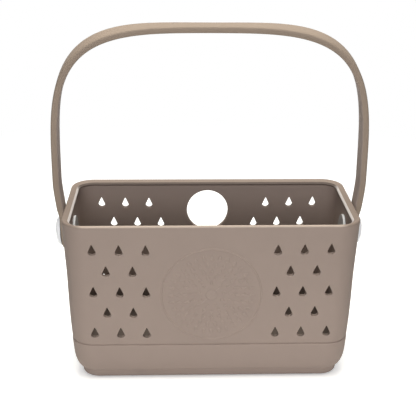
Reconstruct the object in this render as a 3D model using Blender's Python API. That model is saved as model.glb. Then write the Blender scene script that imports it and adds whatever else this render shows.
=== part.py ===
"""Bath caddy: an open-topped moulded tub with drop-shaped drain holes, and a
swinging strap handle held by two white snap rivets.

Units are metres, +Z is up. The origin is the middle of the foot on the
table, +X is to the right and the front wall with the round badge faces -Y.
"""

import math

import bmesh
import bpy

MM = 0.001

# Tub, outside
TUB_WIDTH = 301 * MM
TUB_DEPTH = 146 * MM
TUB_HEIGHT = 175 * MM
SIDE_DRAFT = 0.053
FRONT_DRAFT = 0.032
CORNER_RADIUS = 20 * MM
LEAST_CORNER = 3 * MM
CORNER_STEPS = 9

# Tub, walls and rim
WALL = 5.5 * MM
FLOOR = 5.5 * MM
RIM_BEAD = 1.0 * MM
RIM_HEIGHT = 4 * MM
RIM_ROUND_WIDE = 3.4 * MM
RIM_ROUND_HIGH = 3.0 * MM
RIM_ROUND_STEPS = 5
RIM_EDGE = 0.8 * MM
RIM_EDGE_STEPS = 2
FLOOR_FILLET_WIDE = 10 * MM
FLOOR_FILLET_HIGH = 20 * MM
FILLET_STEPS = 5

# Base band, groove and foot
BAND_TOP = 42 * MM
BAND_PROUD = 0.5 * MM
GROOVE_DEPTH = 1.0 * MM
GROOVE_HALF = 0.9 * MM
BELLY_TOP = 26 * MM
FOOT_HEIGHT = 9 * MM
FOOT_INSET = 6.5 * MM
BELLY_STEPS = 6
CREASE = 1.0 * MM
FOOT_ROUND = 3.5 * MM
FOOT_ROUND_STEPS = 3
FOOT_RING = 9 * MM
RECESS = 2.5 * MM

# Drain holes
DROP_WIDTH = 7.5 * MM
DROP_HEIGHT = 12 * MM
DROP_BELLY = 3.2 * MM
DROP_ARC_STEPS = 9
DROP_PITCH_X = 26.6 * MM
DROP_PITCH_Z = 23.2 * MM
DROP_BELOW_RIM = 26.7 * MM
DROP_FROM_SIDE = 31.3 * MM
DROP_TO_BAND = 5 * MM
DROP_TO_BADGE = 13 * MM
DROP_TO_HANG_HOLE = 22 * MM
DROPS_ACROSS = 3
DROP_ROW_LIFT = 1.2 * MM

# Hanging hole in the back wall
HANG_HOLE_RADIUS = 23.1 * MM
HANG_HOLE_DOWN = 35.4 * MM
HANG_HOLE_STEPS = 40

# Raised ring of the badge on the front wall
BADGE_RADIUS = 50.6 * MM
BADGE_BELOW_RIM = 25.2 * MM
BADGE_BEAD = 0.9 * MM
BADGE_STEPS = 72
BADGE_BEAD_STEPS = 8

# Rivets
RIVET_DOWN = 33 * MM
ROUND_STEPS = 32
STEM_RADIUS = 3.2 * MM
SHOULDER_STEP = 1.8 * MM
HEAD_CATCH = 0.8 * MM
HEAD_EDGE = 0.1 * MM
TURNING_GAP = 0.3 * MM
BUTTON_RADIUS = 15.5 * MM
BUTTON_DOME = 4.6 * MM
BUTTON_EDGE = 1.2 * MM
BACKING_RADIUS = 16 * MM
BACKING_ROOF = 0.9 * MM
BACKING_EDGE = 2.5 * MM
BACKING_BEVEL = 0.5 * MM
SOCKET_LIP = 0.6 * MM
SOCKET_DEPTH = 2.2 * MM
DOME_STEPS = 6
DOME_END_STEP = 0.5

# Strap handle
STRAP_WIDTH = 25 * MM
STRAP_THICKNESS = 7.6 * MM
STRAP_TO_WALL = 1.7 * MM
PADDLE_MARGIN = 2.5 * MM
PADDLE_NECK = 28 * MM
ARCH_SPREAD = 4.65 * MM
ARCH_SPRING_UP = 26 * MM
ARCH_RISE = 155.5 * MM
ARCH_FULLNESS = 3.9
SHOULDER_TURN = 7.5
SHOULDER_AT = 0.335
SHOULDER_SPREAD = 0.18
STRAP_SQUARENESS = 5.2
STRAP_SECTION_STEPS = 20
STRAP_STATIONS = 84
PADDLE_STATIONS = 7
PADDLE_END_STEP = 1 / 3
ARCH_PATH_STEPS = 200
LEG_PATH_STEPS = 100

# How far a cutter runs past the face it enters by, and past the one it leaves by
CUTTER_PAST = 10 * MM

# Derived sizes
RIM_THICKNESS = WALL + RIM_BEAD
FLOOR_TOP = RECESS + FLOOR
DROP_TOP_ROW = TUB_HEIGHT - DROP_BELOW_RIM
DROP_OUTER_X = TUB_WIDTH / 2 - DROP_FROM_SIDE
HANG_HOLE_UP = TUB_HEIGHT - HANG_HOLE_DOWN
BADGE_UP = TUB_HEIGHT - BADGE_BELOW_RIM - BADGE_RADIUS
RIVET_UP = TUB_HEIGHT - RIVET_DOWN
WALL_AT_RIVET = TUB_WIDTH / 2 - RIVET_DOWN * SIDE_DRAFT
SHOULDER_RADIUS = STEM_RADIUS + SHOULDER_STEP
HEAD_RADIUS = STEM_RADIUS + HEAD_CATCH
EYE_RADIUS = SHOULDER_RADIUS + TURNING_GAP
RIVET_HOLE_RADIUS = STEM_RADIUS + TURNING_GAP
SOCKET_RADIUS = HEAD_RADIUS + TURNING_GAP
BACKING_FACE = WALL_AT_RIVET - WALL - TURNING_GAP
BACKING_THICKNESS = SOCKET_DEPTH + BACKING_ROOF
PADDLE_RADIUS = BUTTON_RADIUS + PADDLE_MARGIN
STRAP_MIDDLE = WALL_AT_RIVET + STRAP_TO_WALL + STRAP_THICKNESS / 2
STRAP_OUTSIDE = WALL_AT_RIVET + STRAP_TO_WALL + STRAP_THICKNESS
ARCH_HALF_WIDTH = STRAP_MIDDLE + ARCH_SPREAD


def clear_scene():
    for obj in list(bpy.data.objects):
        bpy.data.objects.remove(obj, do_unlink=True)


def plastic(name, colour, roughness, specular):
    material = bpy.data.materials.new(name)
    material.use_nodes = True
    shader = material.node_tree.nodes["Principled BSDF"]
    shader.inputs["Base Color"].default_value = (*colour, 1)
    shader.inputs["Roughness"].default_value = roughness
    shader.inputs["Specular IOR Level"].default_value = specular
    return material


def new_object(name, verts, faces, material=None, smooth_angle=35):
    """A mesh object from points and faces, its normals facing out."""
    mesh = bpy.data.meshes.new(name)
    mesh.from_pydata(verts, [], faces)
    mesh.validate()
    shape = bmesh.new()
    shape.from_mesh(mesh)
    bmesh.ops.recalc_face_normals(shape, faces=shape.faces[:])
    shape.to_mesh(mesh)
    shape.free()
    obj = bpy.data.objects.new(name, mesh)
    bpy.context.scene.collection.objects.link(obj)
    if material is not None:
        obj.data.materials.append(material)
        obj.data.shade_smooth()
        obj.data.set_sharp_from_angle(angle=math.radians(smooth_angle))
    return obj


def loft(rings):
    """Points and faces of closed rings joined in order, with both ends capped."""
    count = len(rings[0])
    verts = [point for ring in rings for point in ring]
    faces = []
    for row in range(len(rings) - 1):
        low = row * count
        high = low + count
        for i in range(count):
            j = (i + 1) % count
            faces.append((low + i, low + j, high + j, high + i))
    faces.append(tuple(range(count)))
    faces.append(tuple(range(len(verts) - count, len(verts))))
    return verts, faces


def cutter(name, verts, faces):
    obj = new_object(name, verts, faces)
    obj.hide_render = True
    obj.display_type = "WIRE"
    return obj


def apply_boolean(target, other, operation):
    modifier = target.modifiers.new(other.name, "BOOLEAN")
    modifier.operation = operation
    modifier.solver = "EXACT"
    modifier.object = other


def half_size(z, inset):
    """Half width and half depth of the tub's outside at a height, less an inset."""
    below = TUB_HEIGHT - z
    half_x = TUB_WIDTH / 2 - below * SIDE_DRAFT - inset
    half_y = TUB_DEPTH / 2 - below * FRONT_DRAFT - inset
    return half_x, half_y


def tub_ring(z, inset):
    """One level of the tub: a rectangle with round corners."""
    half_x, half_y = half_size(z, inset)
    radius = max(CORNER_RADIUS - inset, LEAST_CORNER)
    points = []
    for quarter in range(4):
        sign_x = (1, -1, -1, 1)[quarter]
        sign_y = (1, 1, -1, -1)[quarter]
        for step in range(CORNER_STEPS + 1):
            angle = math.pi / 2 * (quarter + step / CORNER_STEPS)
            x = sign_x * (half_x - radius) + radius * math.cos(angle)
            y = sign_y * (half_y - radius) + radius * math.sin(angle)
            points.append((x, y, z))
    return points


def tub_outside():
    """(height, inset) down the outside, from the recess below up to the rim."""
    ring_inner = FOOT_INSET + FOOT_RING
    levels = [
        (RECESS, ring_inner + RECESS / 2),
        (0, ring_inner),
    ]
    for step in range(FOOT_ROUND_STEPS + 1):
        angle = math.pi / 2 * step / FOOT_ROUND_STEPS
        levels.append(
            (
                FOOT_ROUND * (1 - math.cos(angle)),
                FOOT_INSET + FOOT_ROUND * (1 - math.sin(angle)),
            )
        )
    levels.append((FOOT_HEIGHT - CREASE, FOOT_INSET))
    levels.append((FOOT_HEIGHT, FOOT_INSET + CREASE / 2))
    belly_depth = FOOT_INSET - CREASE + BAND_PROUD
    belly_high = BELLY_TOP - FOOT_HEIGHT - CREASE / 2
    for step in range(BELLY_STEPS + 1):
        angle = math.pi / 2 * (1 - step / BELLY_STEPS)
        levels.append(
            (
                BELLY_TOP - belly_high * math.sin(angle),
                belly_depth * (1 - math.cos(angle)) - BAND_PROUD,
            )
        )
    levels += [
        (BAND_TOP - 2 * GROOVE_HALF, -BAND_PROUD),
        (BAND_TOP - GROOVE_HALF, -BAND_PROUD / 2),
        (BAND_TOP, GROOVE_DEPTH),
        (BAND_TOP + GROOVE_HALF, 0),
    ]
    return levels


def tub_rim():
    """(height, inset) over the rim: a soft outer round, a flat ledge and a crisp inner edge."""
    levels = []
    for step in range(RIM_ROUND_STEPS + 1):
        angle = math.pi / 2 * step / RIM_ROUND_STEPS
        levels.append(
            (
                TUB_HEIGHT - RIM_ROUND_HIGH * (1 - math.sin(angle)),
                RIM_ROUND_WIDE * (1 - math.cos(angle)),
            )
        )
    for step in range(RIM_EDGE_STEPS + 1):
        angle = math.pi / 2 * step / RIM_EDGE_STEPS
        levels.append(
            (
                TUB_HEIGHT - RIM_EDGE * (1 - math.cos(angle)),
                RIM_THICKNESS - RIM_EDGE * (1 - math.sin(angle)),
            )
        )
    levels.append((TUB_HEIGHT - RIM_HEIGHT, RIM_THICKNESS))
    levels.append((TUB_HEIGHT - RIM_HEIGHT - RIM_BEAD, WALL))
    return levels


def tub_inside():
    levels = []
    for step in range(FILLET_STEPS + 1):
        angle = math.pi / 2 * step / FILLET_STEPS
        levels.append(
            (
                FLOOR_TOP + FLOOR_FILLET_HIGH * (1 - math.sin(angle)),
                WALL + FLOOR_FILLET_WIDE * (1 - math.cos(angle)),
            )
        )
    return levels


def drop_outline():
    """A drain hole seen from the front: an oval drawn up to a point."""
    apex = DROP_HEIGHT - DROP_BELLY
    lift = apex - DROP_HEIGHT / 2
    touch = math.asin(DROP_BELLY / apex)
    points = []
    for step in range(DROP_ARC_STEPS + 1):
        angle = touch - (math.pi + 2 * touch) * step / DROP_ARC_STEPS
        u = DROP_WIDTH / 2 * math.cos(angle)
        points.append((u, DROP_BELLY * math.sin(angle) - lift))
    points.append((0, apex - lift))
    return points


def drop_places(centre_up, keep_clear):
    """Centres of the holes: staggered rows that rise a little towards the corners.

    They are mirrored in X and stay clear of a circle.
    """
    lowest = BAND_TOP + DROP_TO_BAND + DROP_HEIGHT / 2
    places = []
    row = 0
    while DROP_TOP_ROW - row * DROP_PITCH_Z >= lowest:
        z = DROP_TOP_ROW - row * DROP_PITCH_Z
        start = DROP_OUTER_X - (row % 2) * DROP_PITCH_X / 2
        for column in range(DROPS_ACROSS):
            x = start - column * DROP_PITCH_X
            if math.hypot(x, z - centre_up) >= keep_clear and x > DROP_WIDTH:
                up = z + DROP_ROW_LIFT * (x / DROP_OUTER_X) ** 2
                places += [(-x, up), (x, up)]
        row += 1
    return places


def prisms(outline, places, y_from, y_to):
    """Straight prisms along Y with one outline, set at several places."""
    verts = []
    faces = []
    for x, z in places:
        rings = [
            [(x + u, y, z + v) for u, v in outline] for y in (y_from, y_to)
        ]
        part_verts, part_faces = loft(rings)
        first = len(verts)
        verts += part_verts
        faces += [tuple(first + i for i in face) for face in part_faces]
    return verts, faces


def circle(radius, steps):
    return [
        (
            radius * math.cos(2 * math.pi * i / steps),
            radius * math.sin(2 * math.pi * i / steps),
        )
        for i in range(steps)
    ]


def front_face(z):
    """Y of the front wall's outside at a height, over the band and the belly too."""
    levels = tub_outside()[2:] + [(TUB_HEIGHT, 0)]
    for (low, low_inset), (high, high_inset) in zip(levels, levels[1:]):
        if low <= z <= high:
            share = (z - low) / (high - low)
            inset = low_inset + (high_inset - low_inset) * share
            return -half_size(z, inset)[1]
    return -half_size(z, 0)[1]


def badge_bead():
    """The raised ring, a thin torus half sunk in the leaning front wall."""
    rings = []
    for u, v in circle(1, BADGE_STEPS):
        ring = []
        for out, fore in circle(BADGE_BEAD, BADGE_BEAD_STEPS):
            z = BADGE_UP + (BADGE_RADIUS + out) * v
            ring.append(((BADGE_RADIUS + out) * u, front_face(z) - fore, z))
        rings.append(ring)
    count = BADGE_BEAD_STEPS
    verts = [point for ring in rings for point in ring]
    faces = []
    for i in range(BADGE_STEPS):
        after = (i + 1) % BADGE_STEPS
        for j in range(count):
            k = (j + 1) % count
            faces.append(
                (i * count + j, i * count + k, after * count + k, after * count + j)
            )
    return verts, faces


def pierce_walls(tub):
    """The drain holes of the front and back walls and the hanging hole."""
    outside = TUB_DEPTH / 2 + CUTTER_PAST
    inside = half_size(BAND_TOP, WALL)[1] - CUTTER_PAST
    outline = drop_outline()
    in_front = drop_places(BADGE_UP, BADGE_RADIUS + DROP_TO_BADGE)
    front = prisms(outline, in_front, -outside, -inside)
    apply_boolean(tub, cutter("front_drops", *front), "DIFFERENCE")
    in_back = drop_places(HANG_HOLE_UP, HANG_HOLE_RADIUS + DROP_TO_HANG_HOLE)
    back = prisms(outline, in_back, inside, outside)
    apply_boolean(tub, cutter("back_drops", *back), "DIFFERENCE")
    ring = circle(HANG_HOLE_RADIUS, HANG_HOLE_STEPS)
    hole = prisms(ring, [(0, HANG_HOLE_UP)], inside, outside)
    apply_boolean(tub, cutter("hang_hole", *hole), "DIFFERENCE")


def across_bore(radius, reach):
    """A round bar along X through the rivets' axis, to cut holes in both sides."""
    rings = [
        [(x, y, RIVET_UP + z) for y, z in circle(radius, ROUND_STEPS)]
        for x in (-reach, reach)
    ]
    return loft(rings)


def make_tub(material):
    levels = tub_outside() + tub_rim() + tub_inside()
    verts, faces = loft([tub_ring(z, inset) for z, inset in levels])
    tub = new_object("tub", verts, faces, material, smooth_angle=40)
    apply_boolean(tub, cutter("badge_bead", *badge_bead()), "UNION")
    pierce_walls(tub)
    bore = across_bore(RIVET_HOLE_RADIUS, TUB_WIDTH / 2 + CUTTER_PAST)
    apply_boolean(tub, cutter("rivet_holes", *bore), "DIFFERENCE")
    return tub


def arch_point(t):
    """Middle line of the right half of the arch: t is 0 at the crown, 1 at the spring."""
    angle = math.pi / 2 * t
    power = 2 / ARCH_FULLNESS
    x = ARCH_HALF_WIDTH * math.sin(angle) ** power
    z = TUB_HEIGHT + ARCH_SPRING_UP + ARCH_RISE * max(math.cos(angle), 0) ** power
    return x, z


def leg_point(z):
    """Middle line below the spring: it leans in to the paddle, which lies along the wall."""
    spring = TUB_HEIGHT + ARCH_SPRING_UP
    neck = RIVET_UP + PADDLE_RADIUS
    neck_x = STRAP_MIDDLE + SIDE_DRAFT * (neck - RIVET_UP)
    if z <= neck:
        return STRAP_MIDDLE + SIDE_DRAFT * (z - RIVET_UP), z
    span = spring - neck
    u = (z - neck) / span
    start = SIDE_DRAFT * span
    rise = ARCH_HALF_WIDTH - neck_x
    x = neck_x + start * (u - 2 * u**2 + u**3) + rise * (3 * u**2 - 2 * u**3)
    return x, z


def half_path():
    """Points of the middle line from the crown down to the end of the right paddle."""
    points = [arch_point(step / ARCH_PATH_STEPS) for step in range(ARCH_PATH_STEPS + 1)]
    spring = TUB_HEIGHT + ARCH_SPRING_UP
    end = RIVET_UP - PADDLE_RADIUS
    for step in range(1, LEG_PATH_STEPS + 1):
        points.append(leg_point(spring - (spring - end) * step / LEG_PATH_STEPS))
    return points


def lengths_along(points):
    total = [0]
    for (x0, z0), (x1, z1) in zip(points, points[1:]):
        total.append(total[-1] + math.hypot(x1 - x0, z1 - z0))
    return total


def at_length(points, lengths, s):
    """Point and direction of the path at a length along it."""
    low = 0
    high = len(lengths) - 1
    while high - low > 1:
        middle = (low + high) // 2
        if lengths[middle] <= s:
            low = middle
        else:
            high = middle
    span = lengths[high] - lengths[low]
    u = (s - lengths[low]) / span
    (x0, z0), (x1, z1) = points[low], points[high]
    return (x0 + u * (x1 - x0), z0 + u * (z1 - z0)), ((x1 - x0) / span, (z1 - z0) / span)


def strap_size(from_end):
    """Width and thickness of the strap at a distance from its rounded end."""
    edge = STRAP_THICKNESS / 2
    if from_end < PADDLE_RADIUS:
        reach = PADDLE_RADIUS - from_end
        width = 2 * math.sqrt(max(PADDLE_RADIUS**2 - reach**2, 0))
    elif from_end < PADDLE_RADIUS + PADDLE_NECK:
        u = (from_end - PADDLE_RADIUS) / PADDLE_NECK
        ease = u * u * (3 - 2 * u)
        width = 2 * PADDLE_RADIUS + (STRAP_WIDTH - 2 * PADDLE_RADIUS) * ease
    else:
        width = STRAP_WIDTH
    thickness = STRAP_THICKNESS
    if from_end < edge:
        thickness *= math.sqrt(1 - (1 - from_end / edge) ** 2)
    return width, thickness


def strap_section(width, thickness):
    """(across, out) points of the section, a rectangle with soft full edges."""
    power = 2 / STRAP_SQUARENESS
    points = []
    for i in range(STRAP_SECTION_STEPS):
        angle = 2 * math.pi * (i + 0.5) / STRAP_SECTION_STEPS
        across = math.copysign(abs(math.cos(angle)) ** power, math.cos(angle))
        out = math.copysign(abs(math.sin(angle)) ** power, math.sin(angle))
        points.append((across * width / 2, out * thickness / 2))
    return points


def strap_stations(total):
    """Distances from the crown at which the right half of the strap has a section."""
    stations = []
    ends = total - PADDLE_RADIUS
    for step in range(STRAP_STATIONS // 2 + 1):
        stations.append(ends * step / (STRAP_STATIONS // 2))
    for step in range(1, PADDLE_STATIONS + 1):
        angle = math.pi / 2 * step / (PADDLE_STATIONS + PADDLE_END_STEP)
        stations.append(ends + PADDLE_RADIUS * math.sin(angle))
    return stations


def strap_rings():
    path = half_path()
    lengths = lengths_along(path)
    total = lengths[-1]
    half = strap_stations(total)
    rings = []
    for s in [-s for s in half[:0:-1]] + half:
        side = -1 if s < 0 else 1
        (x, z), (dx, dz) = at_length(path, lengths, abs(s))
        width, thickness = strap_size(total - abs(s))
        place = abs(s) / total
        turn = math.radians(SHOULDER_TURN) * math.exp(
            -(((place - SHOULDER_AT) / SHOULDER_SPREAD) ** 2)
        )
        ring = []
        for across, out in strap_section(width, thickness):
            back = across * math.cos(turn) - out * math.sin(turn)
            away = across * math.sin(turn) + out * math.cos(turn)
            px = side * (x - away * dz)
            ring.append((px, back, z + away * dx - RIVET_UP))
        rings.append(ring)
    return rings


def make_strap(material, pivot):
    verts, faces = loft(strap_rings())
    strap = new_object("handle_strap", verts, faces, material, smooth_angle=45)
    strap.parent = pivot
    bore = across_bore(EYE_RADIUS, STRAP_OUTSIDE + CUTTER_PAST)
    apply_boolean(strap, cutter("strap_eyes", *bore), "DIFFERENCE")
    return strap


def turned(profile, lean_from, side):
    """A profile of (x, radius) turned about X, its part past lean_from leaning with the wall."""
    rings = []
    for x, radius in profile:
        lean = SIDE_DRAFT if x > lean_from else 0
        ring = circle(radius, ROUND_STEPS)
        rings.append([(side * (x + lean * z), y, z) for y, z in ring])
    return loft(rings)


def dome(start, height, radius):
    """(x, radius) down a shallow cap that rises from its edge and ends in a small flat."""
    profile = []
    for step in range(1, DOME_STEPS + 1):
        angle = math.pi / 2 * step / (DOME_STEPS + DOME_END_STEP)
        profile.append((start + height * math.sin(angle), radius * math.cos(angle)))
    return profile


def make_button(name, material, side, pivot):
    """Outer button: domed cap, shoulder through the strap's eye, stem and snap head."""
    under = STRAP_OUTSIDE + TURNING_GAP
    shoulder_end = WALL_AT_RIVET + SIDE_DRAFT * SHOULDER_RADIUS + TURNING_GAP
    head_gap = TURNING_GAP + SIDE_DRAFT * HEAD_RADIUS
    head_start = BACKING_FACE - SOCKET_LIP - head_gap
    head_end = BACKING_FACE - SOCKET_DEPTH + head_gap
    profile = [
        (head_end, STEM_RADIUS),
        (head_start, HEAD_RADIUS),
        (head_start + HEAD_EDGE, STEM_RADIUS),
        (shoulder_end, STEM_RADIUS),
        (shoulder_end, SHOULDER_RADIUS),
        (under, SHOULDER_RADIUS),
        (under, BUTTON_RADIUS - BUTTON_EDGE / 2),
        (under + BUTTON_EDGE / 2, BUTTON_RADIUS),
        (under + BUTTON_EDGE, BUTTON_RADIUS - BUTTON_EDGE / 4),
    ]
    top = BUTTON_DOME - BUTTON_EDGE
    profile += dome(under + BUTTON_EDGE, top, BUTTON_RADIUS - BUTTON_EDGE / 4)
    verts, faces = turned(profile, shoulder_end, side)
    button = new_object(name, verts, faces, material, smooth_angle=40)
    button.parent = pivot
    return button


def make_backing(name, material, side):
    """Inner cap: a nearly flat disc with a lipped socket that the snap head sits in."""
    profile = [
        (BACKING_FACE - SOCKET_DEPTH, SOCKET_RADIUS),
        (BACKING_FACE - SOCKET_LIP, SOCKET_RADIUS),
        (BACKING_FACE - SOCKET_LIP, RIVET_HOLE_RADIUS),
        (BACKING_FACE, RIVET_HOLE_RADIUS),
        (BACKING_FACE, BACKING_RADIUS - BACKING_BEVEL),
        (BACKING_FACE - BACKING_BEVEL, BACKING_RADIUS),
        (BACKING_FACE - BACKING_EDGE, BACKING_RADIUS),
    ]
    rise = BACKING_THICKNESS - BACKING_EDGE
    profile += dome(BACKING_FACE - BACKING_EDGE, -rise, BACKING_RADIUS)
    verts, faces = turned(profile, 0, side)
    cap = new_object(name, verts, faces, material, smooth_angle=40)
    cap.location = (0, 0, RIVET_UP)
    return cap


def main():
    clear_scene()
    pivot = bpy.data.objects.new("handle_pivot", None)
    bpy.context.scene.collection.objects.link(pivot)
    pivot.location = (0, 0, RIVET_UP)
    make_tub(plastic("tub_foam", (0.36, 0.28, 0.235), 0.62, 0.35))
    make_strap(plastic("strap_foam", (0.355, 0.275, 0.23), 0.6, 0.35), pivot)
    for side, word in ((-1, "left"), (1, "right")):
        white = plastic(f"white_button_{word}", (0.82, 0.83, 0.86), 0.25, 0.5)
        make_button(f"rivet_button_{word}", white, side, pivot)
        backing = plastic(f"white_backing_{word}", (0.82, 0.83, 0.86), 0.3, 0.5)
        make_backing(f"rivet_backing_{word}", backing, side)


main()
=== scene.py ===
"""Bath caddy: the surfaces that show, with their materials, the light and the camera.

They are built over the fixed frame. Units are metres, +Z is up, and the front wall with the round
badge faces -Y. A level of the tub is a (height, inset) pair, the inset measured in from the tapered
outside of its walls.
"""

import math

import bmesh
import bpy
from mathutils import Matrix, Vector
from mathutils.geometry import delaunay_2d_cdt


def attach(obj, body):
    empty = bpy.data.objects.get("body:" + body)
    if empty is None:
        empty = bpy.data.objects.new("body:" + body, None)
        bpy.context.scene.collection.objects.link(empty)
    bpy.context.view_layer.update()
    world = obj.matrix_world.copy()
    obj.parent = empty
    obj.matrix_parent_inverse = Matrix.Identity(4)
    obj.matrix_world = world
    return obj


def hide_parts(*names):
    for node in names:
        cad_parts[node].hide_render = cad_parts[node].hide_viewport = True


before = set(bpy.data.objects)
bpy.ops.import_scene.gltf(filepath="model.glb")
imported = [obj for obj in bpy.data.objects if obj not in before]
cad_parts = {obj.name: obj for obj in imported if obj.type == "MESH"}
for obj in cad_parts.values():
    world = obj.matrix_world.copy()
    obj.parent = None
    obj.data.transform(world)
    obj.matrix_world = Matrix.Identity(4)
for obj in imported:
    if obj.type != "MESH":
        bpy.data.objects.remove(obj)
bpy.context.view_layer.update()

MM = 0.001
MERGE_REACH = 0.004 * MM

# Tub, outside
TUB_WIDTH = 301 * MM
TUB_DEPTH = 146 * MM
TUB_HEIGHT = 175 * MM
SIDE_DRAFT = 0.053
FRONT_DRAFT = 0.032
CORNER_RADIUS = 24 * MM
LEAST_CORNER = 3 * MM
SIDE_BOW = 1.3 * MM
SIDE_BOW_TOP = 126 * MM
CORNER_STEPS = 24
LONG_RUN_STEPS = 56
SHORT_RUN_STEPS = 24
LONG_SIDES = ("front", "back")

# Tub, walls and rim
WALL = 5.5 * MM
FLOOR = 5.5 * MM
RIM_BEAD = 1.0 * MM
RIM_HEIGHT = 4 * MM
RIM_ROUND = 2.0 * MM
RIM_ROUND_HIGH = 2.9 * MM
RIM_ROUND_STEPS = 14
RIM_RIDGE = 0.3 * MM
RIM_RIDGE_EDGE = 0.25 * MM
RIM_SHY = 0.2 * MM
RIM_FALL = 1.9 * MM
RIM_STRIP = 1.8 * MM
RIM_LIP = 1.5 * MM
RIM_LIP_HIGH = 0.9 * MM
RIM_EDGE = 0.5 * MM
RIM_UNDER_EDGE = 0.6 * MM
RIM_UNDER_RUN = 0.7 * MM
FLOOR_FILLET_WIDE = 10 * MM
FLOOR_FILLET_HIGH = 20 * MM
FILLET_STEPS = 14
WALL_STEP = 5 * MM

# Corners of a profile that are rounded off: points on each, and how much of a side one may take
SOFT_STEPS = 5
SOFT_SHARE = 0.48

# Foot, belly, base band and groove
RECESS = 2.5 * MM
FOOT_RING = 9 * MM
FOOT_RING_EDGE = 0.8 * MM
FOOT_HEIGHT = 9 * MM
FOOT_INSET = 6.5 * MM
FOOT_ROUND = 3.5 * MM
FOOT_ROUND_STEPS = 8
CREASE = 1.0 * MM
CREASE_LOW_EDGE = 0.5 * MM
CREASE_HIGH_EDGE = 0.3 * MM
BELLY_TOP = 26 * MM
BELLY_STEPS = 22
BAND_TOP = 42 * MM
BAND_PROUD = 0.5 * MM
GROOVE_DEPTH = 1.0 * MM
GROOVE_HALF = 0.9 * MM

# The groove's line: half widths of the groove above the band's top, inset, radius of the corner
GROOVE_LINE = (
    (-6, -BAND_PROUD, 0),
    (-1.2, -BAND_PROUD, 1.0 * MM),
    (-0.1, GROOVE_DEPTH, 0.25 * MM),
    (1, 0, 0.35 * MM),
    (2.2, 0, 0),
)

# Wall patches between the rings: how far they run round the corners, and their points.
# The margins are shares of the pitch.
PATCH_PAST_CORNER = 2
PATCH_SHORT_OF_FLOOR = 2
PATCH_PITCH = 4.2 * MM
PATCH_TOP_MARGIN = 0.4
PATCH_END_MARGIN = 0.6
PATCH_HOLE_MARGIN = 0.45
PATCH_EPSILON = 1e-5

# Holes: the rounding of their edges, and the flat strip that joins them to a wall patch
HOLE_EDGE_STEPS = 5
HOLE_REST = 0.5 * MM

# Drain holes
DROP_WIDTH = 7.5 * MM
DROP_HEIGHT = 12 * MM
DROP_BELLY = 3.2 * MM
DROP_TIP = 0.45 * MM
DROP_EDGE = 0.8 * MM
DROP_BELLY_STEPS = 32
DROP_TIP_STEPS = 8
DROP_FLANK_STEPS = 6
DROP_PITCH_X = 26.6 * MM
DROP_PITCH_Z = 23.2 * MM
DROP_BELOW_RIM = 26.7 * MM
DROP_FROM_SIDE = 31.3 * MM
DROP_TO_BAND = 5 * MM
DROP_TO_BADGE = 13 * MM
DROP_TO_HANG_HOLE = 22 * MM
DROPS_ACROSS = 3
DROP_ROW_LIFT = 1.2 * MM

# Hanging hole in the back wall
HANG_HOLE_RADIUS = 23.1 * MM
HANG_HOLE_DOWN = 35.4 * MM
HANG_HOLE_STEPS = 128
HANG_HOLE_EDGE = 1.3 * MM

# Badge on the front wall
BADGE_RADIUS = 50.6 * MM
BADGE_BELOW_RIM = 25.2 * MM
BADGE_BEAD_HIGH = 0.8 * MM
BADGE_BEAD_HALF = 1.4 * MM
BADGE_MARGIN = 2.4 * MM
BADGE_STEPS = 420
BADGE_RING_STEP = 0.5 * MM
BADGE_FINE_STEP = 0.25 * MM
BADGE_FINE_MARGIN = 0.5 * MM
BADGE_MIDDLE = 1.2 * MM

# Relief in the badge: a round boss in the middle, then rings of drops that point outward.
# Reach, half width and belly are shares of a drop's length.
RELIEF_HIGH = 0.8 * MM
BOSS_RADIUS = 6.0 * MM
BOSS_EDGE = 0.9 * MM
RELIEF_FROM = 10 * MM
RELIEF_TO = 46 * MM
RELIEF_REACH = 0.62
RELIEF_HALF_WIDTH = 0.4
RELIEF_BELLY = 0.3
RELIEF_TAPER = 0.75
RELIEF_FLANK_SLOPE = 0.93
RELIEF_EDGE = 0.7 * MM
RELIEF_EDGE_START = 0.2

# Rings of the relief: drops, radius, length of a drop, and a turn in steps of the ring
RELIEF_RINGS = (
    (32, 41.5 * MM, 6.4 * MM, 0.0),
    (26, 34.0 * MM, 6.2 * MM, 0.5),
    (20, 26.8 * MM, 6.0 * MM, 0.0),
    (15, 20.0 * MM, 5.6 * MM, 0.5),
    (9, 13.4 * MM, 5.2 * MM, 0.0),
)

# Rivets
RIVET_DOWN = 33 * MM
ROUND_STEPS = 96
STEM_RADIUS = 3.2 * MM
SHOULDER_STEP = 1.8 * MM
HEAD_CATCH = 0.8 * MM
HEAD_EDGE = 0.1 * MM
TURNING_GAP = 0.3 * MM
RIVET_HOLE_STEPS = 32
RIVET_HOLE_EDGE = 0.2 * MM
BUTTON_RADIUS = 15.5 * MM
BUTTON_DOME = 4.6 * MM
BUTTON_EDGE = 1.6 * MM
BUTTON_TURN_UP = 0.75 * BUTTON_EDGE
BUTTON_TURN_IN = 0.06 * BUTTON_EDGE
BUTTON_SHY = 0.1 * MM
BACKING_RADIUS = 16 * MM
BACKING_ROOF = 0.9 * MM
BACKING_EDGE = 2.5 * MM
BACKING_BEVEL = 0.5 * MM
SOCKET_LIP = 0.6 * MM
SOCKET_DEPTH = 2.2 * MM
DOME_STEPS = 18
DOME_END_GAP = 0.2
CAP_EDGE_STEPS = 8
CAP_SMOOTH_ANGLE = 38

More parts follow.
